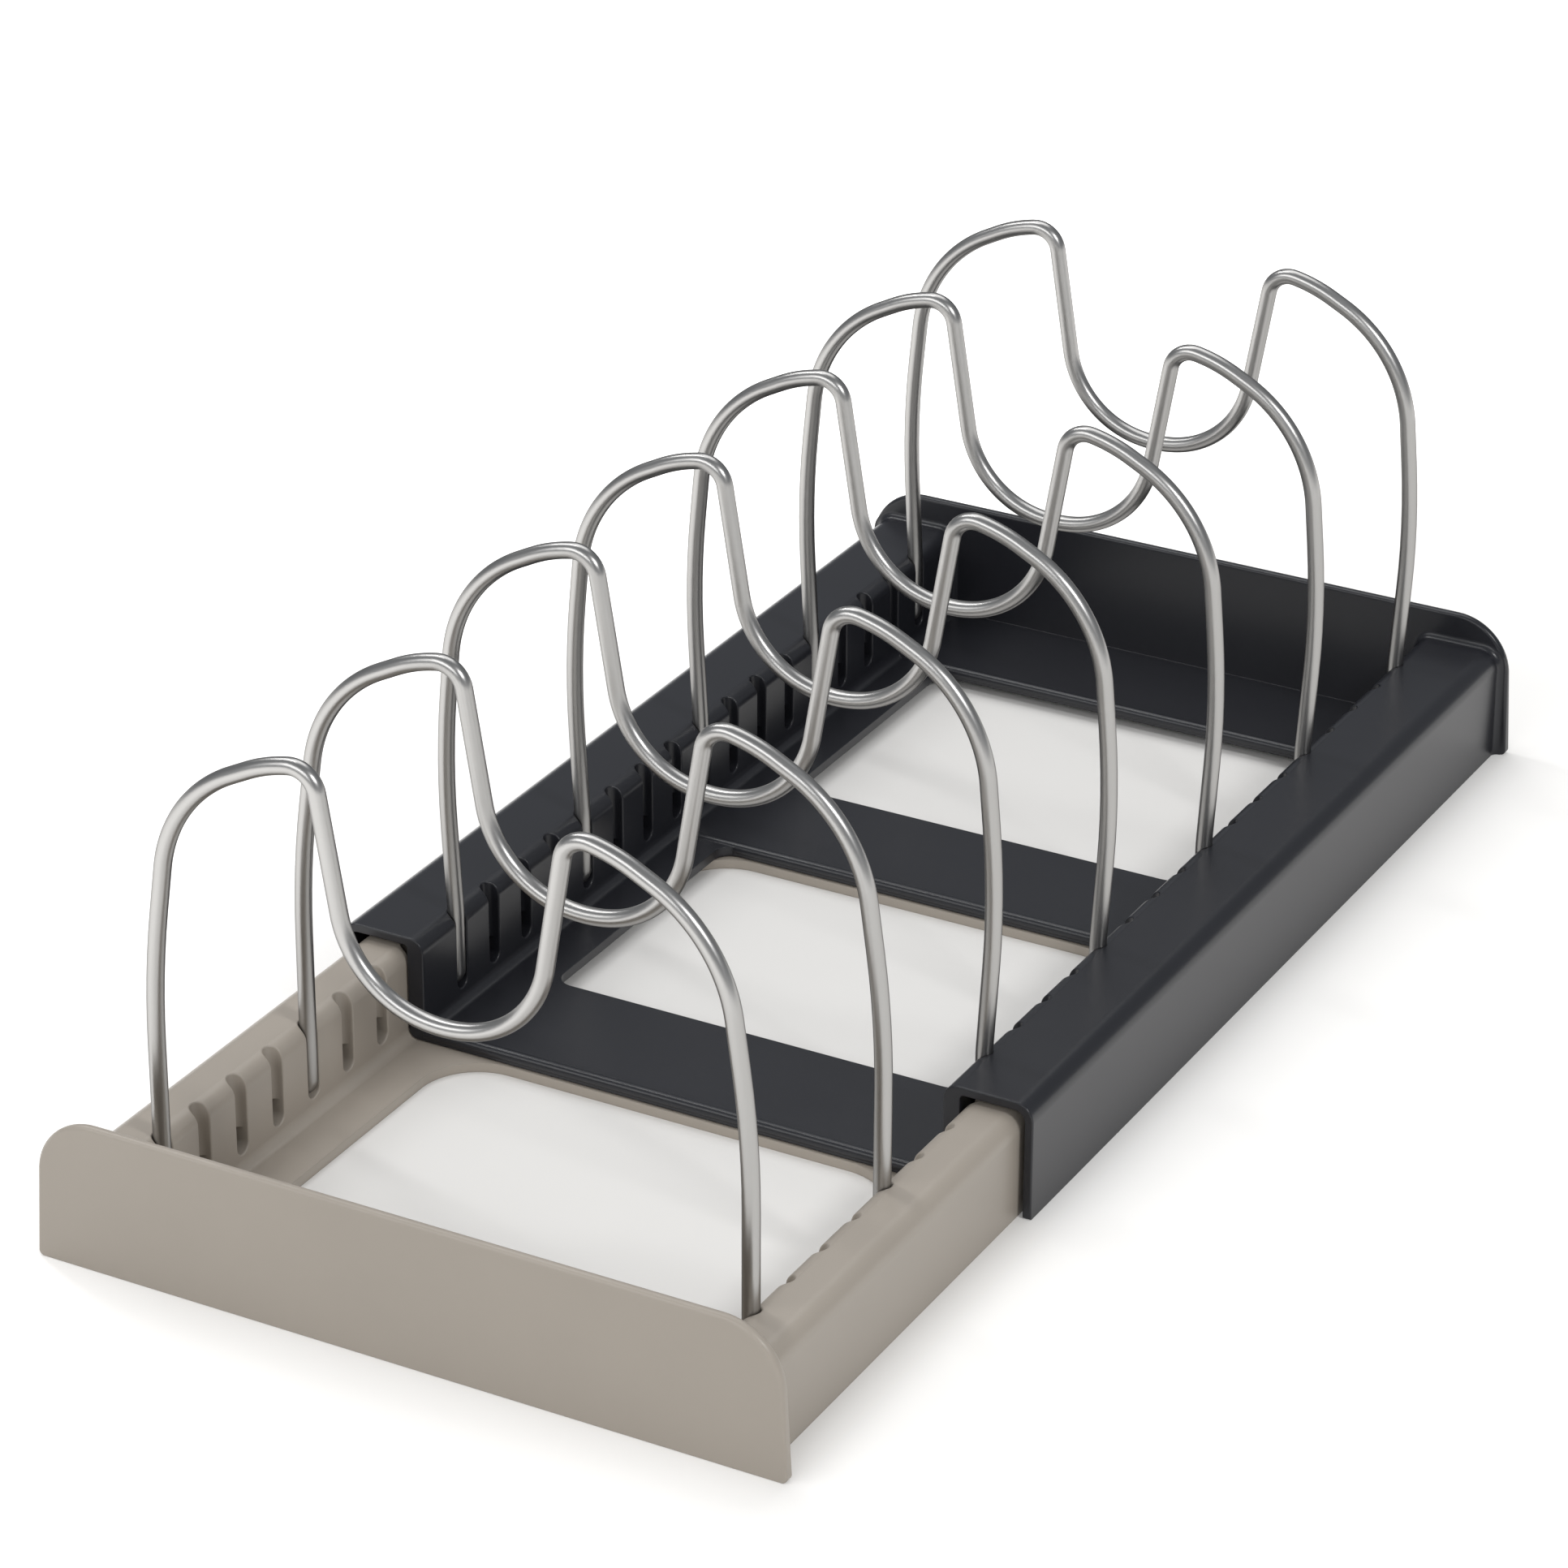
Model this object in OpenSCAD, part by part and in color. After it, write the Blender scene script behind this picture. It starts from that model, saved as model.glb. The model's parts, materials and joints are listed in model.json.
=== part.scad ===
/* [Rack] */
// How far the rear tray's front end stands behind the front tray's front plate
pull_out = 154.7; // [120:0.1:220]

/* [End plates] */
// Width of both end plates at the floor
plate_w = 244; // [242:0.5:270]
// Height of the front tray's plate
front_plate_h = 47.1; // [44:0.1:60]
// Height of the rear tray's plate
back_plate_h = 48.2; // [44:0.1:60]
// Thickness of both end plates
plate_t = 3.2; // [2.8:0.1:5]
// Radius of a plate's two top corners
plate_r = 19.5; // [12:0.5:30]
// Radius of a plate's two bottom corners
plate_foot_r = 1.8; // [1.5:0.1:6]
// How far each side of a plate leans in, from the floor to its top
plate_lean = 1.2; // [0:0.1:5]
// Rounding of a plate's edges
plate_edge_r = 1.3; // [0.6:0.1:1.4]
// Rounding of a plate's edges at the floor
plate_sole_r = 0.4; // [0.2:0.1:1.4]
// Radius of the fillet where a rail runs into its plate
plate_fillet = 2.4; // [1:0.1:3]

/* [Rails] */
// Width of the rear tray over its two rails
outer_w = 235.6; // [225:0.1:238]
// Height of the rear tray's rails
outer_h = 38; // [34:0.1:42]
// Width of one rail of the rear tray
rail_w = 29.2; // [27:0.1:34]
// Wall thickness of a rail's outer side and top
skin = 2.6; // [2:0.1:3]
// Thickness of a rail's inner wall, which holds the slots
slot_wall = 5.5; // [5.2:0.1:7]
// Radius of a rail's outer top edge
rail_out_r = 6; // [4:0.5:8]
// Radius of a rail's inner top edge
rail_in_r = 5; // [3:0.5:7]
// Radius of the corner between a rail's slotted wall and its top, on the hidden side
channel_r = 1.5; // [0.5:0.1:2.5]
// Radius of the fillet at the foot of a rail's inner wall
rail_foot_r = 3.4; // [2:0.1:4]
// Rounding of the rear tray's rails at their open front ends
rail_end_r = 0.5; // [0.3:0.1:1.8]
// Radius of the lower front corner of the rear tray's outer walls
rail_corner_r = 0.8; // [0.5:0.1:4]

/* [Sliding fit] */
// Clearance between the trays at the rails' outer walls
side_gap = 1.9; // [0.5:0.1:2.4]
// Clearance between the trays under the rails' tops
top_gap = 2.2; // [0.5:0.1:3]
// Clearance between the trays at the slotted walls
slot_wall_gap = 0.6; // [0.5:0.1:1.2]
// Clearance between the two bases
base_gap = 0.5; // [0.4:0.1:1]

/* [Bases] */
// Thickness of each base
base_t = 3.2; // [2.6:0.1:3.8]
// Number of crossbars in each base
bars = 3; // [2:1:4]
// Width of each crossbar, measured along the rack
bar_w = 47; // [35:1:60]
// Width of the ledge between the rear tray's slotted wall and a window
ledge_w = 17.8; // [12:0.1:25]
// Width of that ledge in the front tray
inner_ledge_w = 17.1; // [12:0.1:25]
// Corner radius of the front tray's windows
inner_window_r = 19; // [6:1:22]
// Corner radius of the rear tray's windows
outer_window_r = 6; // [4:1:22]
// Radius of the bead along the front edge of the rear tray's crossbars
bead_r = 1.9; // [1.6:0.1:1.9]
// How far that bead stands above its crossbar
bead_rise = 0.8; // [0.5:0.1:1.2]
// How far that bead reaches out before its crossbar
bead_reach = 0.4; // [0.2:0.1:0.8]

/* [Slots] */
// Distance from one slot to the next
slot_pitch = 19; // [16:0.1:22]
// From the front plate's face to the middle of the front tray's first slot
inner_slot_start = 26.8; // [18:0.1:28]
// From the rear tray's front end to the middle of its first slot
outer_slot_start = 22.5; // [14:0.1:26]
// From the middle of the rear tray's last slot to the back of its end plate
slot_end = 28.8; // [22:0.1:34]
// Depth of a slot in its wall
slot_depth = 4.4; // [3.8:0.1:4.7]
// Height of a slot's floor above its base
slot_floor = 4.8; // [4:0.1:6]
// Height of the opening through the wall at a slot's floor
slot_hole_h = 7; // [6.8:0.1:9]
// Clearance all round between a wire and its slot
slot_clear = 0.3; // [0.1:0.05:0.5]

/* [Dividers] */
// Diameter of the dividers' wire
wire_d = 5.2; // [4:0.1:5.4]
// Slots from one divider to the next
divider_step = 4; // [3:1:4]
// Height of a divider's two peaks above its feet, before they are rounded
peak_h = 152.8; // [120:0.1:170]
// Half the distance between the two peaks
peak_x = 40; // [34:0.5:46]
// Bend radius at a peak
peak_r = 7.7; // [6:0.1:9]
// How far the crown falls from its peak towards the shoulder
crown_drop = 2.9; // [1:0.1:5]
// Half the distance between the two crowns
crown_x = 55; // [52:0.5:60]
// Bend radius at the crown
crown_r = 48; // [30:1:55]
// How far the shoulder lies below the peak
shoulder_drop = 19.7; // [16:0.1:26]
// How far a shoulder lies inside its leg's slot
shoulder_in = 8.5; // [4:0.1:14]
// Bend radius at the shoulder
shoulder_r = 46; // [30:1:50]
// Bend radius where a leg leaves its slot
slot_bend_r = 60; // [30:5:90]
// Height of the leg's long bend above the foot
leg_bend_h = 73.9; // [60:0.1:90]
// Bend radius of the leg
leg_r = 300; // [150:10:400]
// Half the width of the dip between the humps
dip_x = 29.2; // [24:0.1:32]
// How far the dip's floor lies below the peak
dip_depth = 70.5; // [50:0.1:90]
// How far the dip's corners lie above its floor
dip_corner_rise = 5.3; // [2:0.1:8]
// Bend radius at the dip's corners
dip_corner_r = 32; // [20:0.5:34]
// Bend radius at the dip's floor
dip_floor_r = 39; // [20:1:39]
// Bend radius where a leg turns out into its foot
foot_r = 3.2; // [2.8:0.1:3.6]
// Length of the straight end of a foot
foot_len = 0.5; // [0.2:0.1:0.8]
// Share of the squeeze at its feet by which a divider's legs bow back out
leg_bow_share = 0.51; // [0.3:0.01:0.7]
// Share of the squeeze at its feet by which a divider's humps rise
squeeze_lift_share = 0.31; // [0:0.01:0.4]

/* [Hidden] */

$fn = 64;
cut = 1;
// How far a fillet reaches into the walls that it joins
sunk = 0.5;

// Dividers are counted from the front: the first ones stand in the front tray
dividers = 7;
front_dividers = 2;
slot_count = (dividers - front_dividers - 1) * divider_step + 1;
tray_len = outer_slot_start + (slot_count - 1) * slot_pitch + slot_end;

rack_len = pull_out + tray_len;
front_y = -rack_len / 2;
back_y = rack_len / 2;
outer_y = front_y + pull_out;
inner_end_y = front_y + tray_len;
bar_pitch = (tray_len - bar_w) / (bars - 1);

// Rails are given as [slotted face, outer face, top], in half the section
outer_rail = [outer_w / 2 - rail_w, outer_w / 2, outer_h];
inner_rail = [
    outer_rail[0] + slot_wall + slot_wall_gap,
    outer_rail[1] - skin - side_gap,
    outer_h - skin - top_gap
];
outer_base_z = base_t + base_gap;

// The rear tray's slotted wall clears the fillet at the foot of the front tray's
inner_wall_foot_r = 1;
outer_wall_foot_r = rail_foot_r - min(slot_wall_gap, base_gap);

slot_w = wire_d + 2 * slot_clear;

// A divider's feet stand on the slots' floors, as far out as the slots are deep
inner_foot = [foot_x(inner_rail), foot_z(0)];
outer_foot = [foot_x(outer_rail), foot_z(outer_base_z)];

taupe = [0.65, 0.61, 0.57];
charcoal = [0.24, 0.25, 0.27];
steel = [0.75, 0.75, 0.74];

// A wire has this many sides, and a ring at least every so many degrees of a bend
wire_sides = 10;
tight_r = 20;
tight_step = 15;
wide_step = 10;
// Turns smaller than this, in degrees, leave a wire straight
straight = 0.05;

function foot_x(rail) = rail[0] + slot_depth - slot_w / 2;
function foot_z(base_z) = base_z + base_t + slot_floor + slot_clear + wire_d / 2;
function divider_y(number) = number <= front_dividers
    ? front_y + inner_slot_start + (number - 1) * divider_step * slot_pitch
    : outer_y + outer_slot_start + (number - front_dividers - 1) * divider_step * slot_pitch;

// Right half of a divider, from its foot to the middle of the dip: [across, up, bend radius]
function half_divider(x, z) = let (
    squeeze = inner_foot[0] - x,
    leg_x = x + leg_bow_share * squeeze,
    peak_z = z + peak_h + squeeze_lift_share * squeeze,
    shoulder_x = inner_foot[0] - shoulder_in
) [
    [x + foot_r + foot_len, z, 0],
    [x, z, foot_r],
    [x, outer_h + slot_clear, slot_bend_r],
    [leg_x, z + leg_bend_h, leg_r],
    [shoulder_x, peak_z - shoulder_drop, shoulder_r],
    [crown_x, peak_z - crown_drop, crown_r],
    [peak_x, peak_z, peak_r],
    [dip_x, peak_z - dip_depth + dip_corner_rise, dip_corner_r],
    [0, peak_z - dip_depth, dip_floor_r]
];

function whole_divider(x, z) = let (half = half_divider(x, z), n = len(half)) concat(
    half,
    [for (i = [n - 2:-1:0]) [-half[i][0], half[i][1], half[i][2]]]
);

// Where a path's point lies, and the heading of a run in degrees from +X towards +Z
function spot(point) = [point[0], point[1]];
function heading(run) = atan2(run[1], run[0]);
function toward(angle) = [cos(angle), sin(angle)];
function half_turns(angle) = angle > 180 ? angle - 360 : angle < -180 ? angle + 360 : angle;

// Rings of the wire round the bend at point i of a path: [across, up, heading]
function bend_rings(path, i) = let (
    here = spot(path[i]),
    heading_in = heading(here - spot(path[i - 1])),
    heading_out = heading(spot(path[i + 1]) - here),
    turn = half_turns(heading_out - heading_in),
    radius = path[i][2],
    start = here - radius * tan(abs(turn) / 2) * toward(heading_in),
    centre = start + sign(turn) * radius * toward(heading_in + 90),
    steps = ceil(abs(turn) / (radius < tight_r ? tight_step : wide_step))
) abs(turn) < straight
    ? [concat(here, heading_in)]
    : [for (k = [0:steps]) let (h = heading_in + turn * k / steps)
        concat(centre + sign(turn) * radius * toward(h - 90), h)];

// All rings of a wire, from one end to the other
function wire_rings(path) = let (last = len(path) - 1) concat(
    [concat(spot(path[0]), heading(spot(path[1]) - spot(path[0])))],
    [for (i = [1:last - 1]) each bend_rings(path, i)],
    [concat(spot(path[last]), heading(spot(path[last]) - spot(path[last - 1])))]
);

// A round wire bent along a path of [across, up, bend radius]
module bent_wire(path, d) {
    rings = wire_rings(path);
    n = wire_sides;
    points = [
        for (ring = rings, k = [0:n - 1]) let (a = 360 * (k + 0.5) / n, out = d / 2 * cos(a))
            [ring[0] - out * sin(ring[2]), d / 2 * sin(a), ring[1] + out * cos(ring[2])]
    ];
    sides = [
        for (i = [0:len(rings) - 2], k = [0:n - 1]) let (a = i * n, next = (k + 1) % n)
            each [[a + k, a + n + k, a + n + next], [a + k, a + n + next, a + next]]
    ];
    first_end = [for (k = [0:n - 1]) k];
    last_end = [for (k = [n - 1:-1:0]) (len(rings) - 1) * n + k];
    polyhedron(points, concat([first_end], sides, [last_end]));
}

// A block with a round outer and a round inner top edge, in the rail's section
module rail_section(x0, x1, h, r0, r1) {
    translate([x0, -cut])
        square([r0, h - r0 + cut]);
    translate([x0 + r0, -cut])
        square([x1 - r1 - x0 - r0, h + cut]);
    translate([x1 - r1, -cut])
        square([r1, h - r1 + cut]);
    translate([x0 + r0, h - r0])
        circle(r0);
    translate([x1 - r1, h - r1])
        circle(r1);
}

// Extrudes a section of the upright plane along the rack
module along(y0, y1) {
    translate([0, y1, 0])
        rotate([90, 0, 0])
            linear_extrude(y1 - y0)
                children();
}

// Carries a small profile, [outward, along the rack], round a rail's outside: from the floor
// up its outer wall, over its top and down its slotted wall to height z_in
module around_rail(rail, z_in) {
    x0 = rail[0] + rail_in_r;
    x1 = rail[1] - rail_out_r;
    h = rail[2];
    translate([rail[1], 0, 0])
        linear_extrude(h - rail_out_r)
            children();
    translate([x1, 0, h - rail_out_r])
        rotate([-90, 0, 0])
            rotate([0, 0, -90])
                rotate_extrude(angle = 90)
                    translate([rail_out_r, 0])
                        children();
    translate([x1, 0, h])
        rotate([0, -90, 0])
            linear_extrude(x1 - x0)
                children();
    translate([x0, 0, h - rail_in_r])
        rotate([-90, 0, 0])
            rotate([0, 0, 180])
                rotate_extrude(angle = 90)
                    translate([rail_in_r, 0])
                        children();
    translate([rail[0], 0, h - rail_in_r])
        rotate([0, 180, 0])
            linear_extrude(h - rail_in_r - z_in)
                children();
}

// A corner between two walls at a right angle, filled to a hollow round
module fillet_profile(r) {
    difference() {
        translate([-sunk, -sunk])
            square(r + sunk);
        translate([r, r])
            circle(r);
    }
}

// What is cut from an edge, at the origin of the profile, to round it: the body lies at +X, +Y
module round_off_profile(r) {
    difference() {
        translate([-cut, -cut])
            square(r + cut);
        translate([r, r])
            circle(r);
    }
}

// Half the section of a tray: a rail like an upside-down channel, and its half of the base.
// The slotted wall's lower edge, out in the channel, is rounded by wall_foot_r
module half_section(rail, base_z, wall_foot_r) {
    difference() {
        rail_section(rail[0], rail[1], rail[2], rail_in_r, rail_out_r);
        rail_section(rail[0] + slot_wall, rail[1] - skin, rail[2] - skin, channel_r, rail_out_r - skin);
        translate([rail[0] - cut, -2 * cut])
            square([rail[1] - rail[0] + 2 * cut, 2 * cut]);
        translate([rail[0] - cut, -cut])
            square([slot_wall + 2 * cut, base_z + cut]);
        translate([rail[0] + slot_wall, base_z])
            mirror([1, 0])
                round_off_profile(wall_foot_r);
    }
    translate([-sunk, base_z])
        square([rail[0] + slot_wall / 2 + sunk, base_t]);
    translate([rail[0], base_z + base_t])
        mirror([1, 0])
            fillet_profile(rail_foot_r);
}

module round_rectangle(w, l, r) {
    for (x = [r, w - r], y = [r, l - r])
        translate([x, y])
            circle(r);
    translate([r, 0])
        square([w - 2 * r, l]);
    translate([0, r])
        square([w, l - 2 * r]);
}

// The openings in a base, one between each crossbar and the next
module windows(rail, ledge, base_z, y0, r) {
    w = 2 * (rail[0] - ledge);
    for (i = [0:bars - 2])
        translate([-w / 2, y0 + bar_w + i * bar_pitch, base_z - cut])
            linear_extrude(base_t + 2 * cut)
                round_rectangle(w, bar_pitch - bar_w, r);
}

// A slot, open towards the middle of the tray: round at its back and at its floor, where a
// hole leads on through the wall
module slot(h) {
    r = slot_w / 2;
    back = slot_depth - r;
    translate([-cut, 0, r])
        rotate([0, 90, 0])
            cylinder(h = slot_wall + 2 * cut, r = r, $fn = 32);
    translate([-cut, -r, r])
        cube([slot_wall + 2 * cut, slot_w, slot_hole_h - r]);
    translate([0, 0, r])
        linear_extrude(h - r + cut) {
            translate([back, 0])
                circle(r);
            translate([-cut, -r])
                square([back + cut, slot_w]);
        }
}

module slots(rail, base_z, first_y) {
    floor_z = base_z + base_t + slot_floor;
    for (i = [0:slot_count - 1])
        translate([rail[0], first_y + i * slot_pitch, floor_z])
            slot(rail[2] - floor_z);
}

// A disc standing on edge, its rim rounded on both sides
module puck(r, edge_r) {
    rotate([-90, 0, 0])
        rotate_extrude() {
            square([r - edge_r, plate_t]);
            translate([0, edge_r])
                square([r, plate_t - 2 * edge_r]);
            for (y = [edge_r, plate_t - edge_r])
                translate([r - edge_r, y])
                    circle(edge_r, $fn = 16);
        }
}

module end_plate(y, h) {
    top_x = plate_w / 2 - plate_lean - plate_r;
    bottom_x = plate_w / 2 - plate_foot_r;
    hull()
        for (side = [-1, 1]) {
            translate([side * top_x, y, h - plate_r])
                puck(plate_r, plate_edge_r);
            translate([side * bottom_x, y, plate_foot_r])
                puck(plate_foot_r, plate_sole_r, $fn = 24);
        }
}

// The raised round lip along the front edge of a crossbar
module bead(rail, y, top_z) {
    translate([-rail[0] - sunk, y + bead_r - bead_reach, top_z + bead_rise - bead_r])
        rotate([0, 90, 0])
            cylinder(h = 2 * (rail[0] + sunk), r = bead_r);
}

module both_sides() {
    children();
    mirror([1, 0, 0])
        children();
}

// What both trays share: two rails, the base between them and the slots
module tray(rail, ledge, base_z, wall_foot_r, y0, y1, first_y, window_r, windows_y) {
    difference() {
        both_sides()
            along(y0, y1)
                half_section(rail, base_z, wall_foot_r);
        windows(rail, ledge, base_z, windows_y, window_r);
        both_sides()
            slots(rail, base_z, first_y);
    }
}

module inner_tray() {
    plate_in = front_y + plate_t;
    color(taupe) {
        tray(inner_rail, inner_ledge_w, 0, inner_wall_foot_r, front_y + plate_t / 2, inner_end_y,
            front_y + inner_slot_start, inner_window_r, front_y);
        end_plate(front_y, front_plate_h);
        both_sides()
            translate([0, plate_in, 0])
                around_rail(inner_rail, 0)
                    fillet_profile(plate_fillet);
    }
}

module outer_tray() {
    color(charcoal) {
        difference() {
            tray(outer_rail, ledge_w, outer_base_z, outer_wall_foot_r, outer_y, back_y - plate_t / 2,
                outer_y + outer_slot_start, outer_window_r, outer_y);
            both_sides()
                translate([0, outer_y, 0])
                    around_rail(outer_rail, outer_base_z + base_t)
                        mirror([1, 0])
                            round_off_profile(rail_end_r);
            both_sides()
                translate([outer_rail[1] - skin - cut, outer_y, 0])
                    rotate([90, 0, 90])
                        linear_extrude(skin + 2 * cut)
                            round_off_profile(rail_corner_r);
        }
        end_plate(back_y - plate_t, back_plate_h);
        both_sides()
            translate([0, back_y - plate_t, 0])
                around_rail(outer_rail, outer_base_z)
                    mirror([0, 1])
                        fillet_profile(plate_fillet);
        for (i = [0:bars - 1])
            bead(outer_rail, outer_y + i * bar_pitch, outer_base_z + base_t);
    }
}

module divider(number) {
    foot = number <= front_dividers ? inner_foot : outer_foot;
    color(steel)
        translate([0, divider_y(number), 0])
            bent_wire(whole_divider(foot[0], foot[1]), wire_d);
}

inner_tray();
outer_tray();
for (number = [1:dividers])
    divider(number);
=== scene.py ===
# %% [markdown]
# A pot lid rack has two moulded trays, one sliding into the other, and seven bent wire dividers.
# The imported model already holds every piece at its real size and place.
# This script loads that frame, looks at it as the photograph does, and gives each piece its
# finish. Where the frame's form is too plain, a finer piece takes its place.

# %% Load the frame
import json
import math

import bmesh
import bpy
from mathutils import Matrix, Vector


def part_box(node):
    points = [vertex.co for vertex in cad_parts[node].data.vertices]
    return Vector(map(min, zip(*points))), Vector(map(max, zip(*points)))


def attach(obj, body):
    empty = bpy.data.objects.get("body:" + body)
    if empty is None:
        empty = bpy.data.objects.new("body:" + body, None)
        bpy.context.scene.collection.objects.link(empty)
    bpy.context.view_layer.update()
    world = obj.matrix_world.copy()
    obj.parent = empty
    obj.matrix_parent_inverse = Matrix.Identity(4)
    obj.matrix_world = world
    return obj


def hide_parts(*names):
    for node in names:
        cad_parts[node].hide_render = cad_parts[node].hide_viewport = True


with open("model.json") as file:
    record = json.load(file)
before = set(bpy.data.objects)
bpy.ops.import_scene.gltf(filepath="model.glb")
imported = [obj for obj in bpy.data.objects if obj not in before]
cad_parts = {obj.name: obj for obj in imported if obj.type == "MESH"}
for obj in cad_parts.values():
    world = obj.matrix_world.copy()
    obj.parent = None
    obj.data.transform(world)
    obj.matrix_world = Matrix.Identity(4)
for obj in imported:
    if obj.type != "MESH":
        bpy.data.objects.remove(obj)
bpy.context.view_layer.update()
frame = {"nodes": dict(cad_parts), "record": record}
scene = bpy.context.scene
print("nodes:", ", ".join(sorted(frame["nodes"])))

# %% [markdown]
# The camera stands where the photographer stood: a little to the right of the front plate and
# above the rack, with a long lens, so that the rack's sides stay nearly parallel.
# A camera looks down its own -Z. Tipping it up by 90 degrees less the elevation, and then turning
# it by the azimuth, points it at the rack. The last, small turn is the photograph's own tilt.

# %% Camera
CAMERA_PLACE = (0.7197, -1.3532, 0.8319)
AZIMUTH = math.radians(28.626)
ELEVATION = math.radians(26.458)
TILT = math.radians(0.24)
LENS_MM = 127.87
SENSOR_MM = 36


def add_camera():
    lens = bpy.data.cameras.new("camera")
    lens.lens = LENS_MM
    lens.sensor_width = SENSOR_MM
    camera = bpy.data.objects.new("camera", lens)
    scene.collection.objects.link(camera)
    turned = Matrix.Rotation(AZIMUTH, 4, "Z") @ Matrix.Rotation(math.pi / 2 - ELEVATION, 4, "X")
    camera.matrix_world = Matrix.Translation(CAMERA_PLACE) @ turned @ Matrix.Rotation(TILT, 4, "Z")
    scene.camera = camera
    return camera


print("camera at", tuple(round(v, 3) for v in add_camera().location))

# %% [markdown]
# Every finish below is a tree of shader nodes. It could be wired by hand in the Shader Editor. The
# script does the same in words: it adds a node, sets its sockets and links it to the next.

# %% Shader nodes in words
def node_tree(owner):
    owner.use_nodes = True
    owner.node_tree.nodes.clear()
    return owner.node_tree


def add_node(tree, kind, **sockets):
    node = tree.nodes.new(kind)
    for name, value in sockets.items():
        node.inputs[name.replace("_", " ")].default_value = value
    return node


def maths(tree, operation, *inputs):
    """A Math node on sockets or plain numbers, in order. Returns its output."""
    node = tree.nodes.new("ShaderNodeMath")
    node.operation = operation
    for socket, value in zip(node.inputs, inputs):
        if isinstance(value, bpy.types.NodeSocket):
            tree.links.new(value, socket)
        else:
            socket.default_value = value
    return node.outputs[0]


def soft_step(tree, value, start, full):
    """0 below start, 1 above full, and a soft rise between."""
    rise = tree.nodes.new("ShaderNodeMapRange")
    rise.interpolation_type = "SMOOTHSTEP"
    rise.inputs["From Min"].default_value = start
    rise.inputs["From Max"].default_value = full
    tree.links.new(value, rise.inputs["Value"])
    return rise.outputs["Result"]


# %% [markdown]
# The rack stands on a plain white table. A white table in even light still renders light grey, so
# where the camera sees it, straight or in a reflection, it gets a painted glow: light of its own
# that no lamp gives. That painted light fades out towards the rack and is gone under it, so the
# shade round the trays and inside their windows keeps its depth. Far away, where the lamps reach
# no more, the painted glow is stronger, and the table stays as white as the backdrop behind it.
# Blender counts in metres, and MM turns millimetres into them.

# %% White table with a painted glow
MM = 0.001
TABLE_COLOUR = (0.78, 0.772, 0.757, 1)
# Strengths and reaches of the table's painted glow.
NEAR_PAINTED_GLOW = 0.30
NEAR_START = -20 * MM
NEAR_FULL = 12 * MM
FAR_PAINTED_GLOW = 0.65
FAR_START = 0.48
FAR_FULL = 0.70
LIT_CENTRE = (0.35, 0, 0)


def seen_ray(tree):
    """1 for a ray that shows this surface: straight, in gloss or through glass."""
    rays = tree.nodes.new("ShaderNodeLightPath").outputs
    shown = maths(tree, "MAXIMUM", rays["Is Camera Ray"], rays["Is Glossy Ray"])
    return maths(tree, "MAXIMUM", shown, rays["Is Transmission Ray"])


def painted_table_glow(tree):
    """Painted glow: none under the rack, a little round it, and more far from the lamps' middle."""
    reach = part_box("outer_tray")[1]
    place = tree.nodes.new("ShaderNodeTexCoord").outputs["Object"]
    axes = tree.nodes.new("ShaderNodeSeparateXYZ")
    away = tree.nodes.new("ShaderNodeVectorMath")
    away.operation = "DISTANCE"
    away.inputs[1].default_value = LIT_CENTRE
    tree.links.new(place, axes.inputs[0])
    tree.links.new(place, away.inputs[0])
    past_side = maths(tree, "SUBTRACT", maths(tree, "ABSOLUTE", axes.outputs["X"]), reach.x)
    past_end = maths(tree, "SUBTRACT", maths(tree, "ABSOLUTE", axes.outputs["Y"]), reach.y)
    near = soft_step(tree, maths(tree, "MAXIMUM", past_side, past_end), NEAR_START, NEAR_FULL)
    far = soft_step(tree, away.outputs["Value"], FAR_START, FAR_FULL)
    near = maths(tree, "MULTIPLY", near, NEAR_PAINTED_GLOW)
    return maths(tree, "ADD", near, maths(tree, "MULTIPLY", far, FAR_PAINTED_GLOW))


def table_material():
    material = bpy.data.materials.new("white_table_painted_glow")
    tree = node_tree(material)
    white = add_node(tree, "ShaderNodeBsdfDiffuse", Color=TABLE_COLOUR)
    glow = tree.nodes.new("ShaderNodeEmission")
    both = tree.nodes.new("ShaderNodeAddShader")
    out = tree.nodes.new("ShaderNodeOutputMaterial")
    # The emission is painted light: only rays that show the table see it.
    strength = maths(tree, "MULTIPLY", seen_ray(tree), painted_table_glow(tree))
    tree.links.new(strength, glow.inputs["Strength"])
    tree.links.new(white.outputs[0], both.inputs[0])
    tree.links.new(glow.outputs[0], both.inputs[1])
    tree.links.new(both.outputs[0], out.inputs["Surface"])
    return material


# %% [markdown]
# The table top is one flat square.

# %% Table
TABLE_SIZE = 12.0


def add_object(name, bm, material):
    """Turns a bmesh into an object of one material, with its origin at the frame's."""
    mesh = bpy.data.meshes.new(name)
    bm.to_mesh(mesh)
    bm.free()
    mesh.materials.append(material)
    added = bpy.data.objects.new(name, mesh)
    scene.collection.objects.link(added)
    return added


def add_table():
    bm = bmesh.new()
    bmesh.ops.create_grid(bm, x_segments=1, y_segments=1, size=TABLE_SIZE / 2)
    table = add_object("table", bm, table_material())
    return table


print("table:", add_table().name)

# %% [markdown]
# The studio round the table does three things. It lights the rack softly from all sides. It is
# white where the camera looks straight at it. And it is dark in a reflection: satin plastic shows
# the white table in its upright walls and the dark room in its tops, and that contrast is what
# makes a rail's rounded edge readable.

# %% Studio
STUDIO_LIGHT = 0.40
BACKDROP_WHITE = 1.0
ROOM_DARK = 0.28
ROOM_COLOUR = (0.9, 0.94, 1.0, 1)


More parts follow.
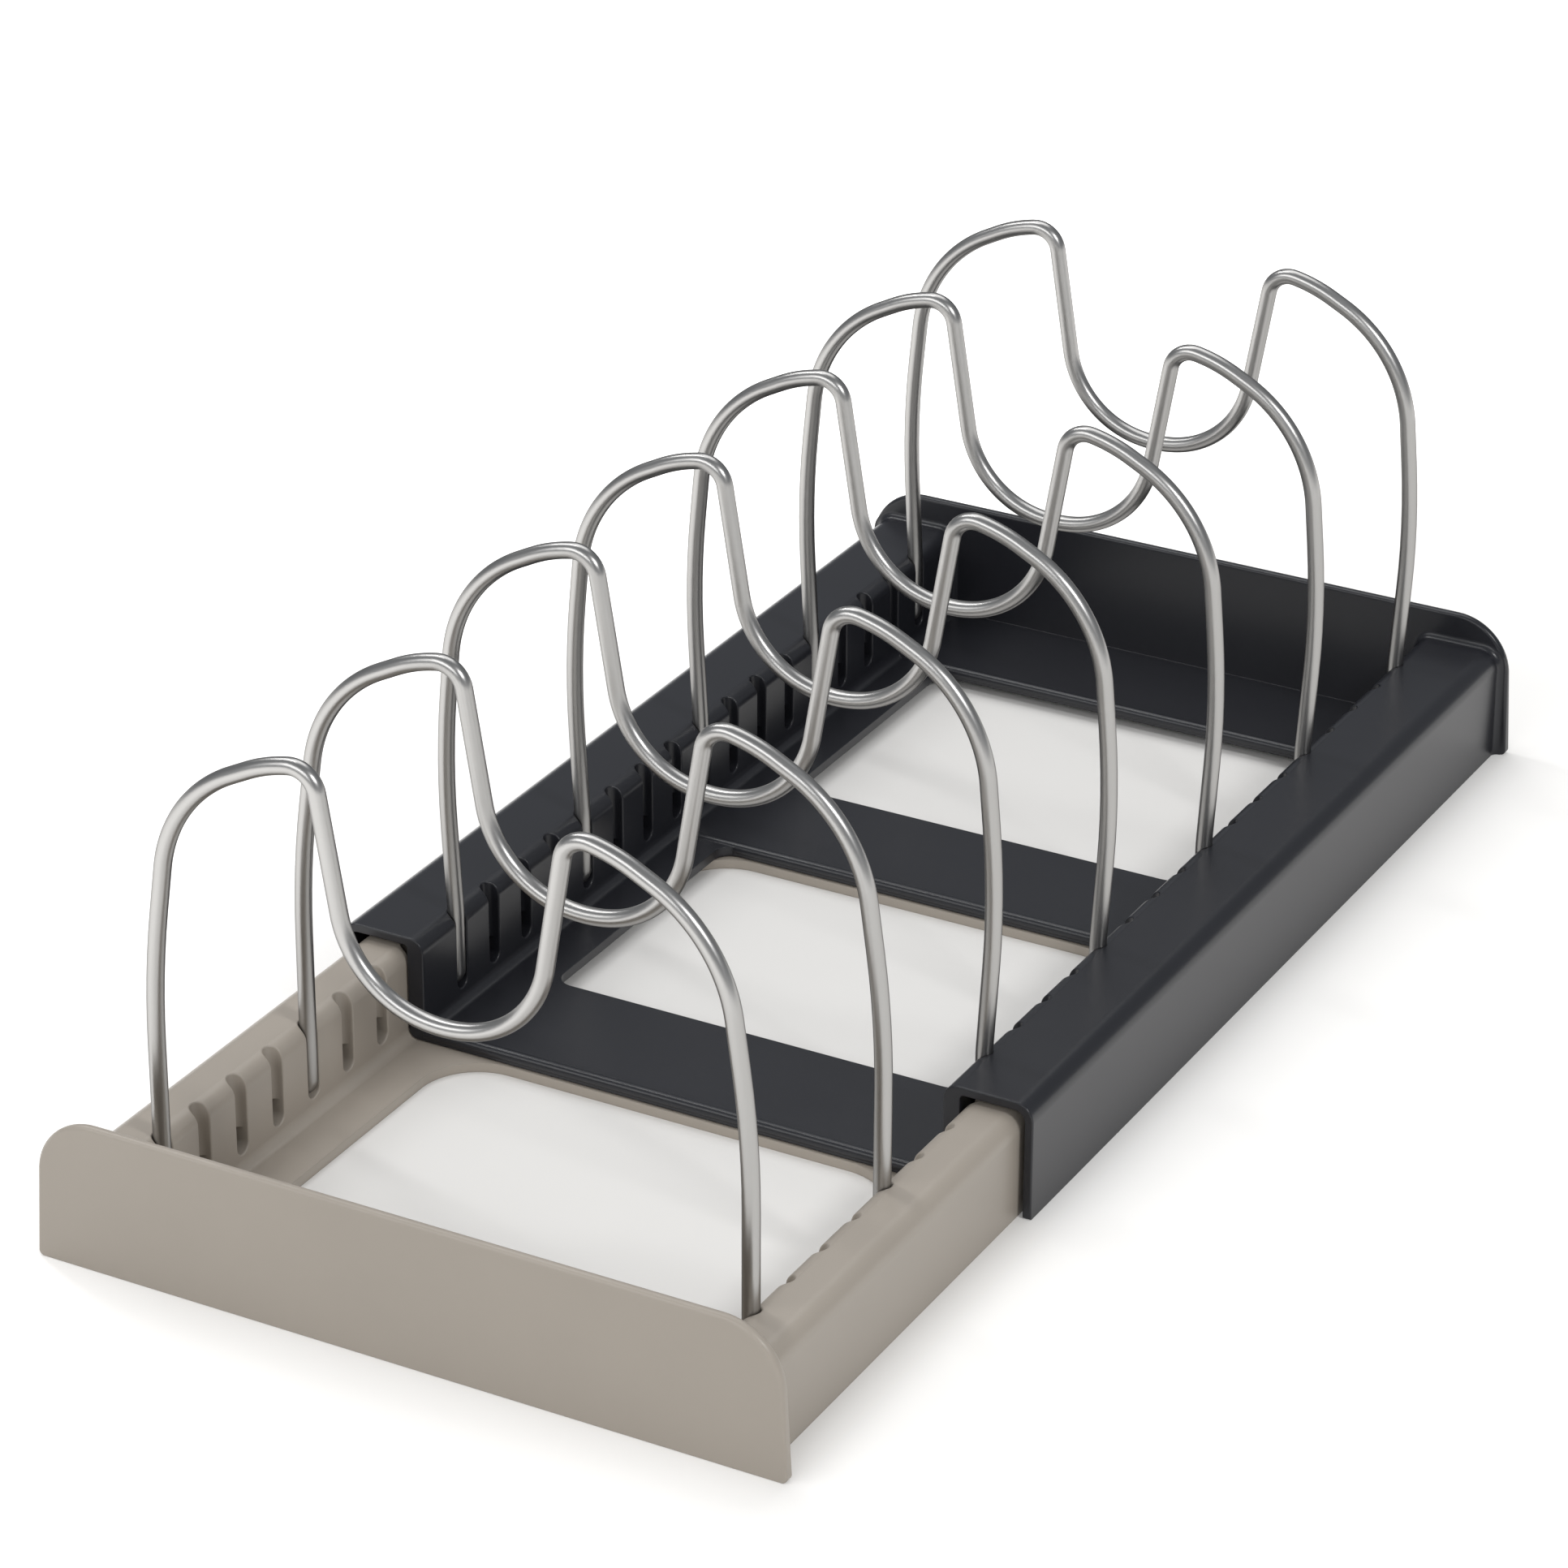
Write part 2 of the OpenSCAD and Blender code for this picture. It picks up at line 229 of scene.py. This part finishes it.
def set_studio():
    world = bpy.data.worlds.new("studio")
    scene.world = world
    tree = node_tree(world)
    rays = tree.nodes.new("ShaderNodeLightPath").outputs
    light = add_node(tree, "ShaderNodeBackground", Color=(1, 1, 1, 1), Strength=STUDIO_LIGHT)
    white = add_node(tree, "ShaderNodeBackground", Color=(1, 1, 1, 1), Strength=BACKDROP_WHITE)
    room = add_node(tree, "ShaderNodeBackground", Color=ROOM_COLOUR, Strength=ROOM_DARK)
    in_gloss = tree.nodes.new("ShaderNodeMixShader")
    straight = tree.nodes.new("ShaderNodeMixShader")
    out = tree.nodes.new("ShaderNodeOutputWorld")
    tree.links.new(rays["Is Glossy Ray"], in_gloss.inputs[0])
    tree.links.new(light.outputs[0], in_gloss.inputs[1])
    tree.links.new(room.outputs[0], in_gloss.inputs[2])
    seen = maths(tree, "MAXIMUM", rays["Is Camera Ray"], rays["Is Transmission Ray"])
    tree.links.new(seen, straight.inputs[0])
    tree.links.new(in_gloss.outputs[0], straight.inputs[1])
    tree.links.new(white.outputs[0], straight.inputs[2])
    tree.links.new(straight.outputs[0], out.inputs["Surface"])
    return world


print("world:", set_studio().name)
scene.view_settings.view_transform = "Standard"

# %% [markdown]
# Four soft boxes stand round the table. A square one hangs behind and above the rack, so its
# shadow falls forwards and to the right. A wide one in front lifts the front plate and lays a
# broad, soft light along the wires. A small one high on the right draws the bright line along each
# rounded edge, which a large one would smear out. A narrow strip high on the left draws the same
# line along the crowns of the wires. A lamp shines along its own -Z, so each is turned to the rack.

# %% Soft boxes
LAMP_AIM = Vector((0, 0, 0.05))
SOFT_BOXES = {
    "back_top": {"place": (-0.3, 0.8, 1.7), "size": (1.1, 1.1), "watts": 7.5},
    "front": {"place": (-0.6, -2.1, 1.4), "size": (3.0, 0.8), "watts": 25},
    "right": {"place": (1.45, -0.55, 1.35), "size": (0.35, 0.35), "watts": 12},
    "left_top": {"place": (-1.1, 0.3, 1.6), "size": (0.25, 1.2), "watts": 8},
}


def add_softbox(name, place, size, watts):
    lamp = bpy.data.lights.new(name, "AREA")
    lamp.shape = "RECTANGLE"
    lamp.size, lamp.size_y = size
    lamp.energy = watts
    softbox = bpy.data.objects.new(name, lamp)
    scene.collection.objects.link(softbox)
    turned = (LAMP_AIM - Vector(place)).to_track_quat("-Z", "Y").to_matrix().to_4x4()
    softbox.matrix_world = Matrix.Translation(place) @ turned
    softbox.visible_camera = False
    return softbox


for name, settings in SOFT_BOXES.items():
    add_softbox(name, **settings)
print("lamps:", ", ".join(SOFT_BOXES))

# %% [markdown]
# Both trays are injection moulded, one in taupe and one in charcoal. A mould leaves its own fine
# matte grain on every face, and the colour is never quite even. Two noise textures make that: a
# wide one shifts the colour by a few hundredths, and a fine one drives a bump of 0.04 mm, too
# small to model. Both read Object coordinates, so they stay on the plastic wherever a tray slides.
# The Bevel node turns the normals within half a millimetre of an edge, because no moulded edge is
# truly sharp.

# %% Moulded plastic
UNEVEN = 0.04
CLOUD_SCALE = 22
CLOUD_DETAIL = 3
GRAIN_SCALE = 1800
GRAIN_DETAIL = 2
GRAIN_DEPTH = 0.04 * MM
EDGE_R = 0.5 * MM


def from_srgb(red, green, blue):
    """A colour as a screen shows it, 0 to 255, in the linear values that a shader takes."""
    def linear(value):
        value = value / 255
        return value / 12.92 if value <= 0.04045 else ((value + 0.055) / 1.055) ** 2.4
    return linear(red), linear(green), linear(blue)


def moulded_plastic(name, colour, roughness, grain):
    material = bpy.data.materials.new(name)
    tree = node_tree(material)
    place = tree.nodes.new("ShaderNodeTexCoord")
    shader = add_node(tree, "ShaderNodeBsdfPrincipled", Roughness=roughness)
    out = tree.nodes.new("ShaderNodeOutputMaterial")
    cloud = add_node(tree, "ShaderNodeTexNoise", Scale=CLOUD_SCALE, Detail=CLOUD_DETAIL)
    shade = tree.nodes.new("ShaderNodeMix")
    shade.data_type = "RGBA"
    shade.inputs["A"].default_value = [value * (1 - UNEVEN) for value in colour] + [1]
    shade.inputs["B"].default_value = [value * (1 + UNEVEN) for value in colour] + [1]
    pits = add_node(tree, "ShaderNodeTexNoise", Scale=GRAIN_SCALE, Detail=GRAIN_DETAIL)
    soft_edge = add_node(tree, "ShaderNodeBevel", Radius=EDGE_R)
    bump = add_node(tree, "ShaderNodeBump", Strength=grain, Distance=GRAIN_DEPTH)
    tree.links.new(place.outputs["Object"], cloud.inputs["Vector"])
    tree.links.new(place.outputs["Object"], pits.inputs["Vector"])
    tree.links.new(cloud.outputs["Fac"], shade.inputs["Factor"])
    tree.links.new(shade.outputs["Result"], shader.inputs["Base Color"])
    tree.links.new(pits.outputs["Fac"], bump.inputs["Height"])
    tree.links.new(soft_edge.outputs["Normal"], bump.inputs["Normal"])
    tree.links.new(bump.outputs["Normal"], shader.inputs["Normal"])
    tree.links.new(shader.outputs[0], out.inputs["Surface"])
    return material


TAUPE = moulded_plastic("moulded_taupe", from_srgb(165, 157, 147), roughness=0.36, grain=0.3)
CHARCOAL = moulded_plastic("moulded_charcoal", from_srgb(33, 34, 39), roughness=0.3, grain=0.2)
print("plastics:", TAUPE.name, CHARCOAL.name)

# %% [markdown]
# A mould has no knife edges: where a slot breaks out of its rail, the rim is rounded by nearly a
# millimetre, so that the wire clips in without scraping. The frame's slots have sharp rims, and
# each tray is therefore finished on a copy. A rim could be picked by hand in edit mode. A script
# finds it by what it is: a sharp, outward edge that lies on the rail's skin, within a slot's
# width of a place where a slot stands.

# %% Which edges are slot rims
RAIL_IN_R = 5 * MM
SLOT_PITCH = 19 * MM
SLOT_W = 5.8 * MM
NEAR = 0.05 * MM
RIM_ANGLE = math.radians(40)


def on_skin(spot, face_x, top_z):
    """Whether a spot lies on a rail's slotted face, its rounded edge or its top."""
    across = abs(spot.x)
    if across < face_x + RAIL_IN_R and spot.z > top_z - RAIL_IN_R:
        centre = Vector((face_x + RAIL_IN_R, top_z - RAIL_IN_R))
        return abs((Vector((across, spot.z)) - centre).length - RAIL_IN_R) < NEAR
    return abs(across - face_x) < NEAR or abs(spot.z - top_z) < NEAR


def on_slot(spot, first_y):
    """Whether a spot is within a slot's width of the nearest slot's middle."""
    from_slot = (spot.y - first_y + SLOT_PITCH / 2) % SLOT_PITCH - SLOT_PITCH / 2
    return abs(from_slot) < SLOT_W / 2 + NEAR


def is_rim(edge, face_x, top_z, first_y):
    if len(edge.link_faces) != 2 or not edge.is_convex or edge.calc_face_angle() < RIM_ANGLE:
        return False
    return all(on_skin(v.co, face_x, top_z) and on_slot(v.co, first_y) for v in edge.verts)


print("a slot every", round(SLOT_PITCH / MM), "mm")

# %% [markdown]
# The frame's mesh is loose triangles. Merging its doubles and dissolving the edges inside flat
# faces gives a clean mesh, on which the bevel can run round each slot as one true round. Then
# rounded stretches are shaded as one surface, and edges that are sharp on the real tray stay
# sharp. The Weighted Normal modifier evens the shading next to the large flat faces.

# %% A tray with rounded slots
RIM_R = 0.8 * MM
RIM_STEPS = 3
SHARP = math.radians(30)
MERGE = 0.001 * MM
FLAT = math.radians(0.3)


def round_rims(bm, rims):
    bmesh.ops.bevel(
        bm, geom=rims, offset=RIM_R, segments=RIM_STEPS, profile=0.5, material=-1,
        affect="EDGES", clamp_overlap=True,
    )


def finished_tray(node, first_divider, face_x, top_z, material):
    low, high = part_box(first_divider)
    first_y = (low.y + high.y) / 2
    bm = bmesh.new()
    bm.from_mesh(frame["nodes"][node].data)
    bmesh.ops.remove_doubles(bm, verts=bm.verts, dist=MERGE)
    bmesh.ops.dissolve_limit(bm, angle_limit=FLAT, verts=bm.verts, edges=bm.edges)
    round_rims(bm, [edge for edge in bm.edges if is_rim(edge, face_x, top_z, first_y)])
    for edge in bm.edges:
        edge.smooth = len(edge.link_faces) == 2 and edge.calc_face_angle() < SHARP
    for wall in bm.faces:
        wall.smooth = True
    tray = add_object("moulded_" + node, bm, material)
    evened = tray.modifiers.new("even_shading", "WEIGHTED_NORMAL")
    evened.keep_sharp = True
    return tray


def dress(piece, node, body):
    """Lets a finer piece move with its body and stand in for the frame's plain node."""
    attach(piece, body)
    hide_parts(node)
    print(piece.name, "on", body, "-", len(piece.data.polygons), "faces")


# %% [markdown]
# The front tray is taupe and slides inside the rear one. It could be given its material as it
# is, but then its slots would keep their sharp rims. So the finished copy stands in for the plain
# node and slides with the front half. The two lengths say where its rails' slotted faces and
# tops lie, and its first divider says where its row of slots starts.

# %% Taupe inner tray
TAUPE_FACE_X = 94.7 * MM
TAUPE_TOP_Z = 33.2 * MM
inner_tray = finished_tray("inner_tray", "divider_1", TAUPE_FACE_X, TAUPE_TOP_Z, TAUPE)
dress(inner_tray, "inner_tray", "front_half")

# %% [markdown]
# The rear tray is charcoal. Its rails are larger and sleeve over the front tray's, so its slotted
# faces lie further in and its tops higher. The helpers are the same. Only these two lengths, the
# divider that its slots start from, and the body that it belongs to are its own.

# %% Charcoal outer tray
CHARCOAL_FACE_X = 88.6 * MM
CHARCOAL_TOP_Z = 38 * MM
outer_tray = finished_tray("outer_tray", "divider_3", CHARCOAL_FACE_X, CHARCOAL_TOP_Z, CHARCOAL)
dress(outer_tray, "outer_tray", "rear_half")

# %% [markdown]
# Each divider is one steel wire, bent in one plane. Its two halves are mirror images, so one half
# is enough: from the foot that is sprung into a slot, up the bowed leg, over the shoulder and the
# hump, and down into the dip in the middle. A point is a corner where two straight runs would
# meet, with the radius of the bend that rounds it. The rear tray's rails stand closer together
# than the front one's, so its dividers are squeezed: their legs start further in, bow out more,
# and lift the humps a little.

# %% The divider's bends
WIRE_D = 5.2 * MM
WIRE_SIDES = 28
FOOT_R = 3.2 * MM
FOOT_LEN = 0.5 * MM
PEAK_H = 152.8 * MM
PEAK_X = 40 * MM
PEAK_R = 7.7 * MM
CROWN_DROP = 2.9 * MM
CROWN_X = 55 * MM
CROWN_R = 48 * MM
SHOULDER_DROP = 19.7 * MM
SHOULDER_IN = 8.5 * MM
SHOULDER_R = 46 * MM
SLOT_TOP = 38.3 * MM
SLOT_BEND_R = 60 * MM
LEG_BEND_H = 73.9 * MM
LEG_R = 300 * MM
DIP_X = 29.2 * MM
DIP_DEPTH = 70.5 * MM
DIP_CORNER_RISE = 5.3 * MM
DIP_CORNER_R = 32 * MM
DIP_FLOOR_R = 39 * MM
LEG_BOW_SHARE = 0.51
SQUEEZE_LIFT_SHARE = 0.31


def foot_of(node):
    """Where a divider's right leg turns out into its foot, across and up."""
    low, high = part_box(node)
    return high.x - FOOT_R - FOOT_LEN, low.z + WIRE_D / 2


WIDE_X = foot_of("divider_1")[0]


def half_divider(x, z):
    squeeze = WIDE_X - x
    peak_z = z + PEAK_H + SQUEEZE_LIFT_SHARE * squeeze
    return [
        (x + FOOT_R + FOOT_LEN, z, 0),
        (x, z, FOOT_R),
        (x, SLOT_TOP, SLOT_BEND_R),
        (x + LEG_BOW_SHARE * squeeze, z + LEG_BEND_H, LEG_R),
        (WIDE_X - SHOULDER_IN, peak_z - SHOULDER_DROP, SHOULDER_R),
        (CROWN_X, peak_z - CROWN_DROP, CROWN_R),
        (PEAK_X, peak_z, PEAK_R),
        (DIP_X, peak_z - DIP_DEPTH + DIP_CORNER_RISE, DIP_CORNER_R),
        (0, peak_z - DIP_DEPTH, DIP_FLOOR_R),
    ]


print("widest foot at", round(WIDE_X / MM, 1), "mm from the middle")

# %% [markdown]
# A wire former feeds the wire straight and bends it round a mandrel, again and again. A curve
# with a round profile would give a similar tube, but its rings crowd in tight bends. Here the mesh
# is made as the wire is: a ring of edges is extruded along each straight run and spun round the
# centre of each bend. Every ring also keeps how far along the wire it lies, in an attribute that
# the steel's drawing lines follow later.

# %% Rings along a wire
BEND_AXIS = Vector((0, -1, 0))


def verts_in(geometry):
    return [item for item in geometry if isinstance(item, bmesh.types.BMVert)]


def edges_in(geometry):
    return [item for item in geometry if isinstance(item, bmesh.types.BMEdge)]


def first_ring(bm, way, place, heading):
    """The wire's closed first end, square to its first run."""
    turned = Matrix.Translation(place) @ heading.to_track_quat("Z", "Y").to_matrix().to_4x4()
    end = bmesh.ops.create_circle(bm, cap_ends=True, segments=WIRE_SIDES, radius=WIRE_D / 2)
    for vert in end["verts"]:
        vert[way] = vert.co
    bmesh.ops.transform(bm, matrix=turned, verts=end["verts"])
    return end["verts"] + bm.edges[:]


def draw_out(bm, ring, way, length, run):
    """Draws the ring out along a straight run."""
    drawn = bmesh.ops.extrude_edge_only(bm, edges=edges_in(ring))["geom"]
    bmesh.ops.translate(bm, vec=run, verts=verts_in(drawn))
    for vert in verts_in(drawn):
        vert[way].z = length
    return [item for item in drawn if not isinstance(item, bmesh.types.BMFace)]


def bend(bm, ring, way, length, centre, turn):
    """Spins the ring by one small step round the centre of a bend."""
    spun = bmesh.ops.spin(bm, geom=ring, cent=centre, axis=BEND_AXIS, angle=turn, steps=1)
    for vert in verts_in(spun["geom_last"]):
        vert[way].z = length
    return spun["geom_last"]


# %% [markdown]
# A whole wire is one walk along its path. A bend begins before its corner, by its radius times the
# tangent of half its turn, and ends as far past it. A tight bend turns further from ring to ring
# than a wide one, so the rings crowd in neither. A corner that hardly turns gets no bend at all,
# because its rings would all lie in one place.

# %% Bending a wire
TIGHT_R = 20 * MM
TIGHT_STEP = math.radians(9)
WIDE_STEP = math.radians(1.5)
STRAIGHT = math.radians(0.01)


def bent_wire(name, path, y, material):
    bm = bmesh.new()
    way = bm.verts.layers.float_vector.new("wire_way")
    spots = [Vector((x, y, z)) for x, z, radius in path]
    ring = first_ring(bm, way, spots[0], (spots[1] - spots[0]).normalized())
    here = spots[0]
    length = 0.0
    for before, spot, after, corner in zip(spots, spots[1:], spots[2:], path[1:]):
        into = (spot - before).normalized()
        out = (after - spot).normalized()
        turn = into.angle(out)
        if turn < STRAIGHT:
            continue
        side = 1 if into.cross(out).dot(BEND_AXIS) > 0 else -1
        radius = corner[2]
        start = spot - into * radius * math.tan(turn / 2)
        length += (start - here).length
        ring = draw_out(bm, ring, way, length, start - here)
        centre = start + side * radius * BEND_AXIS.cross(into)
        steps = max(1, math.ceil(turn / (TIGHT_STEP if radius < TIGHT_R else WIDE_STEP)))
        for step in range(steps):
            length += radius * turn / steps
            ring = bend(bm, ring, way, length, centre, side * turn / steps)
        here = spot + out * radius * math.tan(turn / 2)
    length += (spots[-1] - here).length
    ring = draw_out(bm, ring, way, length, spots[-1] - here)
    bmesh.ops.contextual_create(bm, geom=edges_in(ring))
    bmesh.ops.recalc_face_normals(bm, faces=bm.faces)
    for face in bm.faces:
        face.smooth = len(face.verts) == 4
    return add_object(name, bm, material), length


# %% [markdown]
# The wire was pulled through a die and lightly brushed, so it is satin: bright where it faces the
# light, dark towards its outline, with very fine lines along its length. The noise is therefore
# stretched along the wire. It reads the attribute that the bends wrote, because Object
# coordinates would run the lines straight up through every bend. A low Specular Tint darkens a
# metal at a grazing angle.

# %% Satin steel
STEEL_COLOUR = (0.44, 0.434, 0.424, 1)
STEEL_EDGE = (0.35, 0.35, 0.35, 1)
LINES_ACROSS = 1600
LINES_ALONG = 30
LINES_DETAIL = 3
LINES_STRENGTH = 0.08
LINES_DEPTH = 0.02 * MM
ROUGH_LEAST = 0.27
ROUGH_MOST = 0.37


def satin_steel():
    material = bpy.data.materials.new("drawn_steel")
    tree = node_tree(material)
    way = tree.nodes.new("ShaderNodeAttribute")
    way.attribute_name = "wire_way"
    shader = add_node(tree, "ShaderNodeBsdfPrincipled", Base_Color=STEEL_COLOUR, Metallic=1)
    shader.inputs["Specular Tint"].default_value = STEEL_EDGE
    out = tree.nodes.new("ShaderNodeOutputMaterial")
    drawn = tree.nodes.new("ShaderNodeMapping")
    drawn.inputs["Scale"].default_value = (LINES_ACROSS, LINES_ACROSS, LINES_ALONG)
    lines = add_node(tree, "ShaderNodeTexNoise", Scale=1, Detail=LINES_DETAIL)
    dull = add_node(tree, "ShaderNodeMapRange", To_Min=ROUGH_LEAST, To_Max=ROUGH_MOST)
    bump = add_node(tree, "ShaderNodeBump", Strength=LINES_STRENGTH, Distance=LINES_DEPTH)
    tree.links.new(way.outputs["Vector"], drawn.inputs["Vector"])
    tree.links.new(drawn.outputs["Vector"], lines.inputs["Vector"])
    tree.links.new(lines.outputs["Fac"], dull.inputs["Value"])
    tree.links.new(dull.outputs["Result"], shader.inputs["Roughness"])
    tree.links.new(lines.outputs["Fac"], bump.inputs["Height"])
    tree.links.new(bump.outputs["Normal"], shader.inputs["Normal"])
    tree.links.new(shader.outputs[0], out.inputs["Surface"])
    return material


STEEL = satin_steel()
print("steel:", STEEL.name)

# %% [markdown]
# Seven wires stand in the slots, two in the front tray and five in the rear one. The record says
# which body holds each, so a wire slides with its own tray. Each one stands where the frame's own
# divider stands, in the middle of that node's box.

# %% Seven dividers
for body, members in frame["record"]["behaviour"]["bodies"].items():
    for node in [name for name in members if name.startswith("divider_")]:
        half = half_divider(*foot_of(node))
        path = half + [(-x, z, radius) for x, z, radius in reversed(half[:-1])]
        low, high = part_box(node)
        wire, length = bent_wire("wire_of_" + node, path, (low.y + high.y) / 2, STEEL)
        dress(wire, node, body)
        print("  bent from", round(length / MM), "mm of wire")
